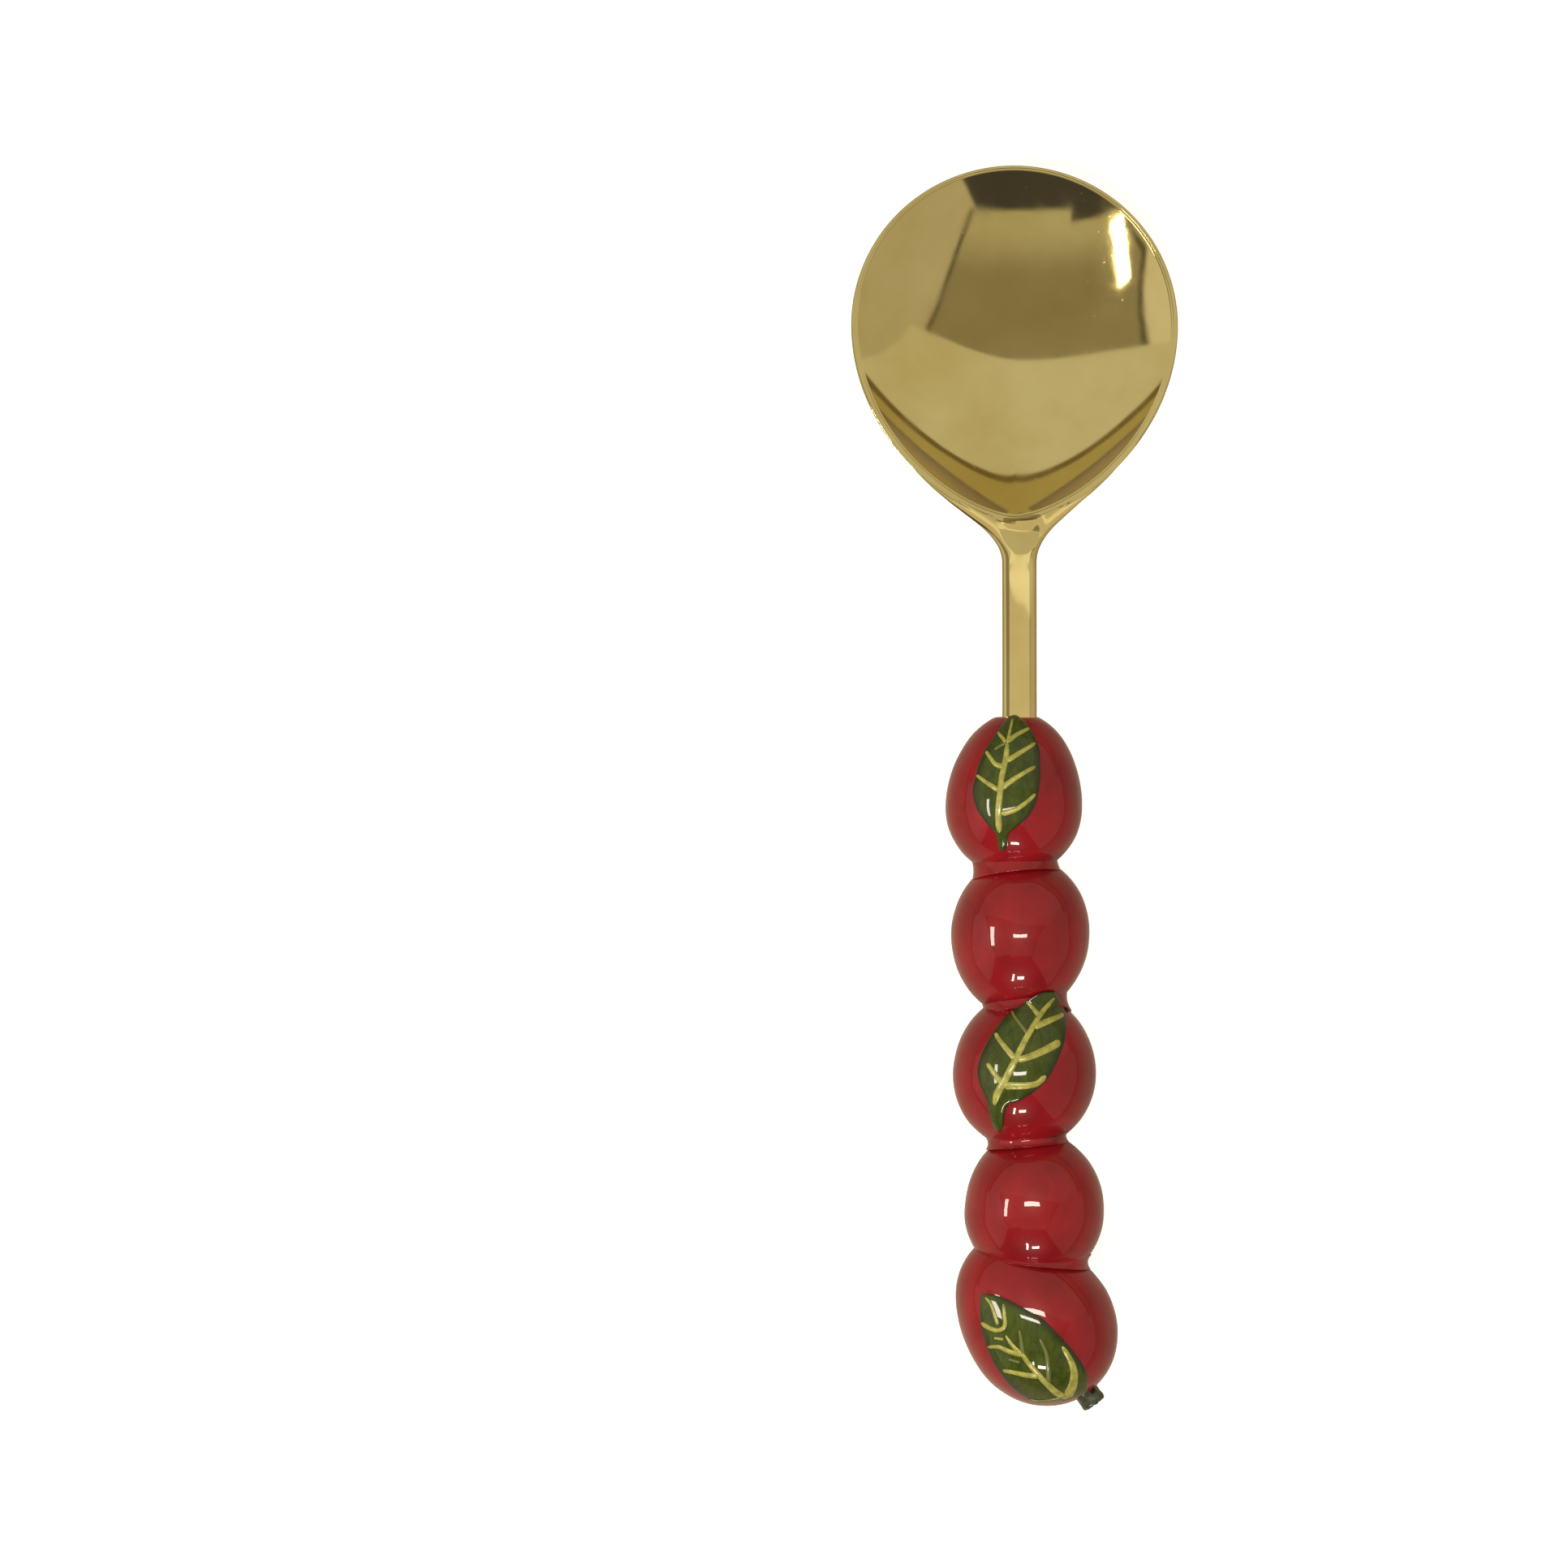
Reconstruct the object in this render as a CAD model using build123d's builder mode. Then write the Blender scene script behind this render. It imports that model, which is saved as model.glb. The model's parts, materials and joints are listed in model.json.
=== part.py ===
"""A serving spoon, lying on its back on a table.

A polished, brass-plated bowl is brazed to a forged stem. The stem's round tang runs through a
handle of five cast fruits, which are threaded on it and bonded to it. Three of the fruits carry
a leaf in relief with trailed veins, and the last has a cut stalk.

Frame: millimetres, origin at the centre of the bowl's flat foot, +Y towards the bowl's tip,
+Z up, table at Z = 0.
"""

import os
from dataclasses import dataclass
from math import cos, hypot, radians, sin, tan

from build123d import *

# ---------------------------------------------------------------- driving dimensions

# Bowl, measured from the centre of its foot
bowl_half_width = 34.1
bowl_tip_length = 33.6
bowl_heel_length = 41.5
bowl_height = 12.5
bowl_pitch = 9.0  # the rim climbs towards the stem, in degrees
bowl_roundness = 2.2  # exponent of the depth curve: 2 is a parabola, more is flatter below
rim_width = 1.5
floor_thickness = 1.3
foot_share = 0.2  # foot's size as a share of the rim's
heel_sharpness = 1.3  # 1 is an ellipse, 2 comes to a point

# Stem: a fishtail root that cups the bowl's heel, then an oval bar
stem_offset = 0.9  # the stem stands this far to +X of the bowl's centre
bar_half_width = 3.6
bar_crown = 2.2  # above the bar's widest line
bar_belly = 2.8  # below the bar's widest line
wing_start = 26.5  # where the fishtail's two wings leave the bowl's outline
wing_half_width = 0.7009 * bowl_half_width
root_start = 31.0  # where the wings turn in towards the bar
root_half_width = 0.61 * bowl_half_width
root_turn = 14.0  # radius of that turn
root_flare = 50.2  # degrees between the fishtail's side and the stem
root_fillet = 11.2
root_spare = 0.5  # straight bar left in the fishtail, past its fillets
root_depth = 2.2  # the web under the heel is this much deeper than the bar
bar_rounding = 1.9
braze_gap = 0.2
dip_distance = 42.0  # a shallow dip where the cavity's heel runs into the stem
dip_offset = 1.6
dip_radius = 8.0
dip_depth = 0.7
junction_distance = 81.8  # bowl's centre to the top of the handle
handle_pitch = 2.0  # the handle falls towards its end, in degrees

# Tang and bonding
bar_socket = 3.0  # how far the oval bar goes into the first fruit
socket_clearance = 0.15
tang_radius = 2.4
tang_length = 122.0
tang_chamfer = 0.6
groove_depth = 0.4
groove_width = 1.5
groove_count = 9
groove_first = 14.0
groove_pitch = 12.0
glue_line = 0.5  # thickness of the adhesive round the tang
bore_radius = tang_radius + glue_line
bore_spare = 1.5  # blind depth past the end of the tang

# Handle decoration
leaf_relief = 0.7
vein_relief = 0.35
vein_width = 1.1
seam_half_height = 2.4
seam_hollow = 0.6  # how far the seam filler's band is hollowed
stalk_radius = 2.7
stalk_start = 12.0  # from the last fruit's centre, along its axis
stalk_length = 7.4
stalk_bevel = 0.5
stalk_clearance = 0.1
stalk_dimple = 0.8


@dataclass
class Fruit:
    """One cast fruit, in the handle's own frame: x across, lift upwards, s along the handle."""

    name: str
    x: float
    lift: float
    s: float
    radius: float
    crown: float  # half length towards the bowl
    base: float  # half length towards the end
    lean: float  # turn of the fruit's axis towards +X, in degrees


@dataclass
class Seam:
    """The plane where two fruits meet, and the radius of the waist there."""

    x: float
    s: float
    slope: float  # turn seen from above, in degrees
    overlap: float  # how far its upper edge leans towards the bowl, in degrees
    radius: float


end_fruit_radius = 15.6
end_fruit_s = 127.4
handle_drop = tan(radians(handle_pitch))

fruits = [
    Fruit("fruit_1", -1.2, 0.0, 18.6, 14.2, 19.6, 14.5, -3.4),
    Fruit("fruit_2", 0.2, 0.6, 45.0, 14.3, 16.4, 17.2, -3.9),
    Fruit("fruit_3", 1.0, 1.2, 74.0, 14.9, 16.6, 16.0, -4.6),
    Fruit("fruit_4", 3.1, 0.8, 103.1, 14.6, 17.0, 14.6, 1.0),
]
seams = [
    Seam(-0.9, 30.4, 6.0, 10.0, 8.4),
    Seam(1.2, 59.7, 7.0, 16.0, 8.4),
    Seam(1.6, 87.9, 5.0, 2.0, 7.8),
    Seam(3.2, 112.2, -6.0, 0.0, 11.6),
]


@dataclass
class Leaf:
    """A leaf in relief. Its frame stands at the blade's base, with v towards the leaf's tip."""

    fruit: int
    x: float  # base of the blade, in the handle's frame
    s: float
    turn: float  # from the bowl's direction towards +X, in degrees
    length: float
    left: tuple  # the left edge's widest point, (u, v)
    right: tuple
    stalk: tuple  # end of the leaf's own stalk
    stalk_width: float
    veins: list  # each a list of (u, v) points


leaves = [
    Leaf(0, -3.8, 23.8, 6.5, 23.4, (-6.4, 9.6), (7.3, 11.4), (0.6, -4.2), 1.8, [
        [(-0.4, 0.8), (-1.1, 4.9), (-1.6, 8.6), (-0.6, 14.0), (0.1, 17.0), (0.6, 22.2)],
        [(-0.6, 4.9), (3.5, 6.6), (6.2, 9.0)],
        [(-0.6, 9.7), (3.2, 12.1), (6.2, 14.0)],
        [(0.2, 15.2), (3.6, 17.2), (5.7, 18.9)],
        [(0.6, 19.0), (4.6, 21.0)],
        [(-1.1, 9.2), (-5.4, 13.4)],
        [(-0.8, 14.6), (-3.5, 17.8)],
        [(0.2, 18.8), (-1.4, 21.2)],
    ]),
    Leaf(2, -3.2, 80.6, 27.0, 25.0, (-7.7, 11.6), (6.0, 12.4), (2.8, -5.4), 2.6, [
        [(0.2, 0.4), (-0.7, 3.9), (0.2, 9.7), (0.2, 16.0), (0.2, 23.6)],
        [(-0.2, 4.3), (4.4, 3.0), (7.2, 3.5)],
        [(0.7, 9.6), (4.2, 10.2), (7.4, 10.0)],
        [(0.3, 16.0), (3.2, 16.2), (5.6, 16.0)],
        [(-0.5, 5.2), (-3.2, 8.3)],
        [(0.0, 10.4), (-4.8, 14.2)],
        [(0.0, 14.9), (-3.2, 18.8)],
        [(0.2, 18.6), (-1.6, 21.4)],
    ]),
    Leaf(4, 9.2, 140.6, -43.5, 28.3, (-6.0, 15.0), (6.6, 11.6), (1.6, -1.0), 2.4, [
        [(-0.6, 3.2), (-0.7, 7.6), (-1.2, 14.0), (-1.0, 19.6), (0.6, 24.2), (0.2, 27.6)],
        [(0.4, 2.6), (4.0, 5.2), (6.0, 9.8)],
        [(-0.6, 7.4), (3.2, 10.6), (4.4, 14.0)],
        [(-1.0, 13.8), (1.4, 17.6)],
        [(0.0, 20.8), (2.8, 24.4)],
        [(-0.8, 9.6), (-3.8, 11.9), (-4.8, 14.6)],
        [(-1.2, 14.6), (-4.2, 17.6), (-5.2, 19.4)],
        [(-1.0, 20.2), (-3.0, 20.8), (-4.4, 22.8)],
    ]),
]

# ---------------------------------------------------------------- places worked out from those


def rim_height(distance):
    """Height of the rim's plane, this far from the bowl's centre towards the stem."""
    return bowl_height + distance * tan(radians(bowl_pitch))


flare_end = root_start + (root_half_width - bar_half_width) / tan(radians(root_flare))
bar_start = flare_end + root_fillet * tan(radians(root_flare / 2)) + root_spare
arch_length = junction_distance - bar_start
arch_rise = arch_length * tan(radians((bowl_pitch - handle_pitch) / 2))
arch_sagitta = hypot(arch_length, arch_rise) / 2 * tan(radians((bowl_pitch + handle_pitch) / 4))
bar_start_height = rim_height(bar_start) - bar_crown
junction_height = bar_start_height + arch_rise

# The handle's frame: z runs along the handle, x across it, y up. The plan is the same frame
# seen from above, with y towards the bowl.
down, along = sin(radians(handle_pitch)), cos(radians(handle_pitch))
junction = (stem_offset, -junction_distance, junction_height)
handle = Plane(origin=junction, x_dir=(1, 0, 0), z_dir=(0, -along, -down))
plan = Plane(origin=junction, x_dir=(1, 0, 0), z_dir=(0, -down, along))

# The last fruit is dropped until it rests on the table, as the bowl's foot does.
axis_height = junction_height - end_fruit_s * down
end_fruit_lift = (end_fruit_radius - axis_height) / along
fruits.append(
    Fruit("fruit_5", 4.7, end_fruit_lift, end_fruit_s, end_fruit_radius, 22.0, 16.5, 35.0)
)


def tilted(origin, turn, overlap=0.0):
    """The handle's frame moved to a point, turned towards +X, and leaned back."""
    turned = Location(origin, (0, turn, 0))
    leaned = Location((0, 0, 0), (-overlap, 0, 0))
    return Plane(handle.location * turned * leaned)


# ---------------------------------------------------------------- bowl


def bowl_section(share, half_width, tip, heel, height):
    """One level of the bowl: half an ellipse to the tip, and a sharper curve to the heel.

    share is 0 at the bottom and 1 at the rim. Lower levels are smaller, rounder and lie flatter.
    """
    sharpness = 1 + (heel_sharpness - 1) * share
    pitch = bowl_pitch * (share - foot_share) / (1 - foot_share)
    level = Plane(Location((0, 0, height), (-pitch, 0, 0)))
    heel_angles = [15, 30, 45, 60, 75, 90, 105, 120, 135, 150, 165]
    heel_curve = [
        (
            half_width * share * (1 if a <= 90 else -1) * abs(cos(radians(a))) ** sharpness,
            -heel * share * sin(radians(a)),
        )
        for a in heel_angles
    ]
    ends = [(half_width * share, 0), (-half_width * share, 0)]
    with BuildSketch(level) as section:
        with BuildLine():
            EllipticalCenterArc((0, 0), half_width * share, tip * share, 0, arc_size=180)
            Spline(ends[0], *heel_curve, ends[1], tangents=[(0, -1), (0, 1)])
        make_face()
    return section.sketch


def bowl_form(grow=0.0):
    """The bowl's outside, filled solid. Its first level is the flat foot."""
    foot_depth = foot_share**bowl_roundness
    with BuildPart() as form:
        for share in [foot_share, 0.32, 0.45, 0.58, 0.7, 0.81, 0.91, 1.0]:
            rise = (share**bowl_roundness - foot_depth) / (1 - foot_depth)
            add(
                bowl_section(
                    share,
                    bowl_half_width + grow,
                    bowl_tip_length + grow,
                    bowl_heel_length + grow,
                    bowl_height * rise,
                )
            )
        loft()
    return form.part


def bowl_hollow():
    """What the bowl holds, filled solid and carried on past the rim."""
    depth = bowl_height - floor_thickness
    with BuildPart() as hollow:
        for share in [0.12, 0.25, 0.4, 0.55, 0.68, 0.8, 0.9, 1.0, 1.1]:
            add(
                bowl_section(
                    share,
                    bowl_half_width - rim_width,
                    bowl_tip_length - rim_width,
                    bowl_heel_length - rim_width,
                    floor_thickness + depth * share**bowl_roundness,
                )
            )
        loft()
    return hollow.part


bowl_solid = bowl_form()
with BuildPart() as heel_dip:
    with Locations((dip_offset, -dip_distance, rim_height(dip_distance) + dip_radius - dip_depth)):
        Sphere(dip_radius)

with BuildPart() as bowl:
    add(bowl_solid)
    add(bowl_hollow(), mode=Mode.SUBTRACT)
    add(heel_dip.part, mode=Mode.SUBTRACT)
bowl.part.label = "bowl"

# ---------------------------------------------------------------- stem

# The fishtail's sides flare from the bar to the bowl's rim. Seen from the side, its top lies in
# the rim's plane and its belly runs down to the web under the heel.
side = Plane(origin=(stem_offset, 0, 0), x_dir=(0, 1, 0), z_dir=(1, 0, 0))
bar_depth = bar_crown + bar_belly
with BuildPart() as fishtail:
    with BuildSketch():
        with BuildLine():
            Polyline(
                (stem_offset - bar_half_width, -bar_start),
                (stem_offset - bar_half_width, -flare_end),
                (-root_half_width, -root_start),
                (-wing_half_width, -wing_start),
                (wing_half_width, -wing_start),
                (root_half_width, -root_start),
                (stem_offset + bar_half_width, -flare_end),
                (stem_offset + bar_half_width, -bar_start),
                close=True,
            )
        make_face()
    extrude(amount=2 * bowl_height)
    corners = fishtail.edges().filter_by(Axis.Z).group_by(Axis.Y)
    fillet(corners[1], root_fillet)
    corners = fishtail.edges().filter_by(Axis.Z).group_by(Axis.Y)
    fillet(corners[-2], root_turn)
    with BuildSketch(side):
        with BuildLine():
            Polyline(
                (-bar_start, rim_height(bar_start)),
                (-wing_start, rim_height(wing_start)),
                (-wing_start, rim_height(wing_start) - bar_depth - root_depth),
                (-bar_start, rim_height(bar_start) - bar_depth),
                close=True,
            )
        make_face()
    extrude(amount=2 * root_half_width, both=True, mode=Mode.INTERSECT)

# The bar rises at the bowl's pitch and turns down to the handle's in one arc.
with BuildPart() as bar:
    with BuildLine(side) as arch:
        SagittaArc(
            (-junction_distance, junction_height), (-bar_start, bar_start_height), -arch_sagitta
        )
    with BuildSketch(Plane(arch.line @ 1, x_dir=(-1, 0, 0), z_dir=arch.line % 1)):
        with Locations((0, (bar_crown - bar_belly) / 2)):
            RectangleRounded(2 * bar_half_width, bar_depth, bar_rounding)
    sweep(path=arch.line)
    with BuildSketch(handle):
        with Locations((0, (bar_crown - bar_belly) / 2)):
            RectangleRounded(2 * bar_half_width, bar_depth, bar_rounding)
    extrude(amount=bar_socket)

# Half of the tang's outline: x runs along the handle, y is the radius.
turning = Plane(origin=junction, x_dir=handle.z_dir, z_dir=handle.x_dir)
grooves = [groove_first + groove_pitch * n for n in range(groove_count)]
groove_points = []
for start in grooves:
    groove_points += [
        (start, tang_radius),
        (start, tang_radius - groove_depth),
        (start + groove_width, tang_radius - groove_depth),
        (start + groove_width, tang_radius),
    ]
with BuildPart() as tang:
    with BuildSketch(turning):
        with BuildLine():
            Polyline(
                (0, 0),
                (0, tang_radius),
                *groove_points,
                (tang_length - tang_chamfer, tang_radius),
                (tang_length, tang_radius - tang_chamfer),
                (tang_length, 0),
                close=True,
            )
        make_face()
    revolve(axis=Axis(junction, handle.z_dir))

with BuildPart() as brazing:
    add(fishtail.part)
    add(bowl_form(braze_gap), mode=Mode.INTERSECT)
    add(bowl_solid, mode=Mode.SUBTRACT)
    add(heel_dip.part, mode=Mode.SUBTRACT)
brazing.part.label = "brazing"

with BuildPart() as stem:
    add(fishtail.part)
    add(bowl_form(braze_gap), mode=Mode.SUBTRACT)
    add(heel_dip.part, mode=Mode.SUBTRACT)
    add(bar.part)
    add(tang.part)
stem.part.label = "stem"

# ---------------------------------------------------------------- handle


def fruit_plane(fruit):
    """A fruit's own frame: its centre, with z along its axis towards the handle's end."""
    return tilted((fruit.x, fruit.lift, fruit.s), fruit.lean)


def fruit_body(fruit, grow=0.0):
    """A fruit turned whole, before its neighbours cut it. grow adds to it all over."""
    radius = fruit.radius + grow
    with BuildPart() as turned:
        with BuildSketch(Plane.XZ):
            with BuildLine():
                EllipticalCenterArc((0, 0), radius, fruit.base + grow, 90, arc_size=-90)
                EllipticalCenterArc((0, 0), radius, fruit.crown + grow, 0, arc_size=-90)
                Line((0, -fruit.crown - grow), (0, fruit.base + grow))
            make_face()
        revolve(axis=Axis.Z)
    with BuildPart() as body:
        with Locations(fruit_plane(fruit)):
            add(turned.part)
    return body.part


def seam_plane(number):
    seam = seams[number]
    lift = (fruits[number].lift + fruits[number + 1].lift) / 2
    return tilted((seam.x, lift, seam.s), seam.slope, seam.overlap)


def trimmed(number, grow=0.0):
    """A fruit cut where it meets the stem or its neighbours."""
    starts_at = handle if number == 0 else seam_plane(number - 1)
    with BuildPart() as body:
        add(fruit_body(fruits[number], grow))
        split(bisect_by=starts_at, keep=Keep.TOP)
        if number < len(seams):
            split(bisect_by=seam_plane(number), keep=Keep.BOTTOM)
    return body.part


# The hole through the handle: the bar's socket, then a round bore past the tang's end.
with BuildPart() as bore:
    with BuildSketch(handle):
        with Locations((0, (bar_crown - bar_belly) / 2)):
            RectangleRounded(
                2 * (bar_half_width + socket_clearance),
                bar_depth + 2 * socket_clearance,
                bar_rounding + socket_clearance,
            )
    extrude(amount=bar_socket + socket_clearance)
    with BuildSketch(handle):
        Circle(bore_radius)
    extrude(amount=tang_length + bore_spare)

with BuildPart() as adhesive_sleeve:
    with BuildSketch(handle.offset(bar_socket + socket_clearance)):
        Circle(bore_radius)
    extrude(amount=tang_length + bore_spare - bar_socket - socket_clearance)
    add(tang.part, mode=Mode.SUBTRACT)
adhesive_sleeve.part.label = "adhesive_sleeve"

# The stalk is a peg let into the last fruit, cut off square and dimpled.
end_frame = fruit_plane(fruits[-1])
with BuildPart() as stalk:
    with BuildSketch(end_frame.offset(stalk_start)):
        Circle(stalk_radius)
    extrude(amount=stalk_length)
    chamfer(stalk.faces().sort_by(Axis(end_frame.origin, end_frame.z_dir))[-1].edges(), stalk_bevel)
    with Locations(end_frame.offset(stalk_start + stalk_length)):
        Sphere(stalk_dimple, mode=Mode.SUBTRACT)
stalk.part.label = "stalk"
with BuildPart() as stalk_hole:
    with BuildSketch(end_frame.offset(stalk_start - stalk_clearance)):
        Circle(stalk_radius + stalk_clearance)
    extrude(amount=stalk_length)


def leaf_plane(leaf):
    """The leaf's own frame, u across it and v towards its tip, seen from above."""
    return Plane(plan.location * Location((leaf.x, -leaf.s, 0), (0, 0, -leaf.turn)))


def leaf_prism(leaf):
    """The leaf's outline, drawn out upwards."""
    tip = (0, leaf.length)
    with BuildPart() as prism:
        with BuildSketch(leaf_plane(leaf)):
            with BuildLine():
                Spline((0, 0), leaf.left, tip)
                Spline((0, 0), leaf.right, tip)
            make_face()
            with BuildLine() as stalk_line:
                Line((0, 1), leaf.stalk)
            trace(stalk_line.line, leaf.stalk_width)
        extrude(amount=2 * end_fruit_radius)
    return prism.part


def vein_prism(leaf):
    """The trailed strokes of a leaf's veins, drawn out upwards."""
    with BuildPart() as prism:
        with BuildSketch(leaf_plane(leaf)):
            for points in leaf.veins:
                with BuildLine() as stroke:
                    Spline(*points)
                trace(stroke.line, vein_width)
        extrude(amount=2 * end_fruit_radius)
    return prism.part


pieces = [bowl, brazing, stem, adhesive_sleeve, stalk]

for number, fruit in enumerate(fruits):
    with BuildPart() as fruit_piece:
        add(trimmed(number))
        add(bore.part, mode=Mode.SUBTRACT)
        if number == len(seams):
            add(stalk_hole.part, mode=Mode.SUBTRACT)
    fruit_piece.part.label = fruit.name
    pieces.append(fruit_piece)

fillers = []
for number, seam in enumerate(seams):
    edge = seam.radius + seam_hollow
    with BuildPart() as band:
        with BuildSketch(Plane.YZ):
            with BuildLine():
                Polyline(
                    (edge, -seam_half_height),
                    (0, -seam_half_height),
                    (0, seam_half_height),
                    (edge, seam_half_height),
                )
                ThreePointArc(
                    (edge, seam_half_height), (seam.radius, 0), (edge, -seam_half_height)
                )
            make_face()
        revolve(axis=Axis.Z)
    with BuildPart() as seam_filler:
        with Locations(seam_plane(number)):
            add(band.part)
        add(trimmed(number), mode=Mode.SUBTRACT)
        add(trimmed(number + 1), mode=Mode.SUBTRACT)
        add(bore.part, mode=Mode.SUBTRACT)
    seam_filler.part.label = f"seam_filler_{number + 1}"
    fillers.append(seam_filler)
pieces += fillers

for count, leaf in enumerate(leaves, start=1):
    outline = leaf_prism(leaf)
    skin = trimmed(leaf.fruit, leaf_relief)
    with BuildPart() as leaf_piece:
        add(outline)
        add(skin, mode=Mode.INTERSECT)
        add(fruit_body(fruits[leaf.fruit]), mode=Mode.SUBTRACT)
        for filler in fillers:
            add(filler.part, mode=Mode.SUBTRACT)
    leaf_piece.part.label = f"leaf_{count}"
    with BuildPart() as vein_piece:
        add(vein_prism(leaf))
        add(outline, mode=Mode.INTERSECT)
        add(trimmed(leaf.fruit, leaf_relief + vein_relief), mode=Mode.INTERSECT)
        add(skin, mode=Mode.SUBTRACT)
        for filler in fillers:
            add(filler.part, mode=Mode.SUBTRACT)
    vein_piece.part.label = f"veins_{count}"
    pieces += [leaf_piece, vein_piece]

# ---------------------------------------------------------------- files

os.makedirs("parts", exist_ok=True)
for piece in pieces:
    export_step(piece.part, f"parts/{piece.part.label}.step")
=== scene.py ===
"""A serving spoon with a polished brass-plated bowl and a lacquered handle of five fruits."""

import json
from math import acos, asin, atan2, copysign, cos, hypot, pi, radians, sin, sqrt, tan

import bmesh
import bpy
from mathutils import Matrix, Vector, noise

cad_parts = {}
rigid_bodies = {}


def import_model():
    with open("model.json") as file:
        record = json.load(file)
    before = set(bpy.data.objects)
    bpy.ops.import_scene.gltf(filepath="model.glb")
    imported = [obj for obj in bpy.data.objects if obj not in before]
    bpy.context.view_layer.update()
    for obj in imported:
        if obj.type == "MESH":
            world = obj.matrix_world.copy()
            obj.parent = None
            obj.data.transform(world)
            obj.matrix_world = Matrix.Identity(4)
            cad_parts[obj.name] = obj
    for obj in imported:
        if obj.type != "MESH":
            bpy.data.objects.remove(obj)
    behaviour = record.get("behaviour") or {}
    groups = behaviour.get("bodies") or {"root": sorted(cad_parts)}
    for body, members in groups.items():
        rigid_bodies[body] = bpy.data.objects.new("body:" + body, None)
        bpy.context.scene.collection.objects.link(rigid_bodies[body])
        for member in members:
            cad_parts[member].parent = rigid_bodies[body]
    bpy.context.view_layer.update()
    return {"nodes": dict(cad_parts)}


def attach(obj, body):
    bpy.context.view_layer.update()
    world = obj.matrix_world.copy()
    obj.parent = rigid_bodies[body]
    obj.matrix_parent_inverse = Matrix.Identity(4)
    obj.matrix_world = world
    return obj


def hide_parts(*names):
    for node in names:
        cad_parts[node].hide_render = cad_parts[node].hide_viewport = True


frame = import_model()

# ------------------------------------------------------------------------------ bowl
# The bowl is pressed from sheet, plated with brass and buffed to a mirror. Its rim is a flat
# land, 1.5 mm wide at the heel and narrower at the tip, and it stands on a small flat foot.

mm = 0.001
bowl_half_width, bowl_tip, bowl_heel = 34.1 * mm, 33.6 * mm, 41.5 * mm
bowl_height, bowl_pitch = 12.5 * mm, radians(9.0)
bowl_roundness = 2.2  # a cone would have 1, a dish with a flatter floor more
pitch_growth = 1.4  # how late a level takes on the rim's pitch
rim_width, floor_thickness = 1.5 * mm, 1.3 * mm
rim_at_tip = 0.44  # the share of its width that the rim's land keeps at the tip
rim_rounding = 0.3 * mm  # how far the land's edges are rounded down
foot_share = 0.2
heel_sharpness = 1.3
heel_arc = 0.6  # the rim meets the stem where the sine of its angle passes this
plating_proud = 0.04 * mm


def linear(hex_colour):
    """An sRGB hex colour as the linear colour that a socket takes."""
    channels = [int(hex_colour[n : n + 2], 16) / 255 for n in (1, 3, 5)]
    return [c / 12.92 if c <= 0.04045 else ((c + 0.055) / 1.055) ** 2.4 for c in channels] + [1]


def node(tree, kind, inputs=None, links=None, **settings):
    """Adds a node with its settings, its plain values and its links from other sockets."""
    made = tree.nodes.new(kind)
    for name, value in settings.items():
        setattr(made, name, value)
    for name, value in (inputs or {}).items():
        made.inputs[name].default_value = value
    for name, socket in (links or {}).items():
        tree.links.new(socket, made.inputs[name])
    return made


def new_material(name, viewport_colour):
    """An empty node material with its Principled shader, ready for its own nodes."""
    material = bpy.data.materials.new(name)
    material.use_nodes = True
    material.diffuse_color = linear(viewport_colour)
    tree = material.node_tree
    shader = next(n for n in tree.nodes if n.type == "BSDF_PRINCIPLED")
    return material, tree, shader


def clamp(value, low, high):
    """The value, kept between low and high."""
    return max(low, min(high, value))


def face_outwards(mesh_data):
    """Turns every face outwards, also where the shape was made inside out."""
    bmesh.ops.recalc_face_normals(mesh_data, faces=mesh_data.faces)
    if mesh_data.calc_volume(signed=True) < 0:
        bmesh.ops.reverse_faces(mesh_data, faces=mesh_data.faces)


def new_object(name, mesh_data):
    """Puts a finished mesh into the scene as an object at the origin."""
    mesh = bpy.data.meshes.new(name)
    mesh_data.to_mesh(mesh)
    mesh_data.free()
    made = bpy.data.objects.new(name, mesh)
    bpy.context.scene.collection.objects.link(made)
    return made


def new_piece(name, mesh_data, material):
    """Makes a piece of a finished mesh, which stands for the CAD node of its own name."""
    face_outwards(mesh_data)
    piece = new_object(name, mesh_data)
    piece.data.materials.append(material)
    piece.data.polygons.foreach_set("use_smooth", [True] * len(piece.data.polygons))
    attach(piece, "root")
    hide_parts(name)
    return piece


def bowl_outline(angle, half_width, tip, heel, share):
    """A point of one level's outline: half an ellipse, then a sharper curve to the heel."""
    across, forward = cos(angle), sin(angle)
    if forward >= 0:
        return half_width * across * share, tip * forward * share
    sharpness = 1 + (heel_sharpness - 1) * share**3  # lower levels are rounder
    return (
        half_width * share * copysign(abs(across) ** sharpness, across),
        heel * share * forward,
    )


def level_pitch(share):
    """How steeply a level of the bowl climbs towards the stem: level at the foot."""
    return bowl_pitch * share**pitch_growth


def outside_height(share):
    """Height of a level of the bowl's outside before it is pitched: nothing over the foot."""
    foot = foot_share**bowl_roundness
    return bowl_height * max(0.0, share**bowl_roundness - foot) / (1 - foot)


def rim_height(distance):
    """Height of the rim's plane, this far from the bowl's centre towards the stem."""
    return bowl_height + distance * tan(bowl_pitch)


dip_x, dip_y = 1.6 * mm, -43.0 * mm  # a shallow dip where the cavity's heel meets the stem
dip_half_width, dip_half_length, dip_depth = 5.0 * mm, 4.4 * mm, 1.1 * mm
dip_from_share = 0.8  # the dip touches only the levels above this one


def heel_dip(x, y):
    """Depth of that dip at a point seen from above."""
    away = ((x - dip_x) / dip_half_width) ** 2 + ((y - dip_y) / dip_half_length) ** 2
    return dip_depth * (1 - away) ** 2 if away < 1 else 0.0


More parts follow.
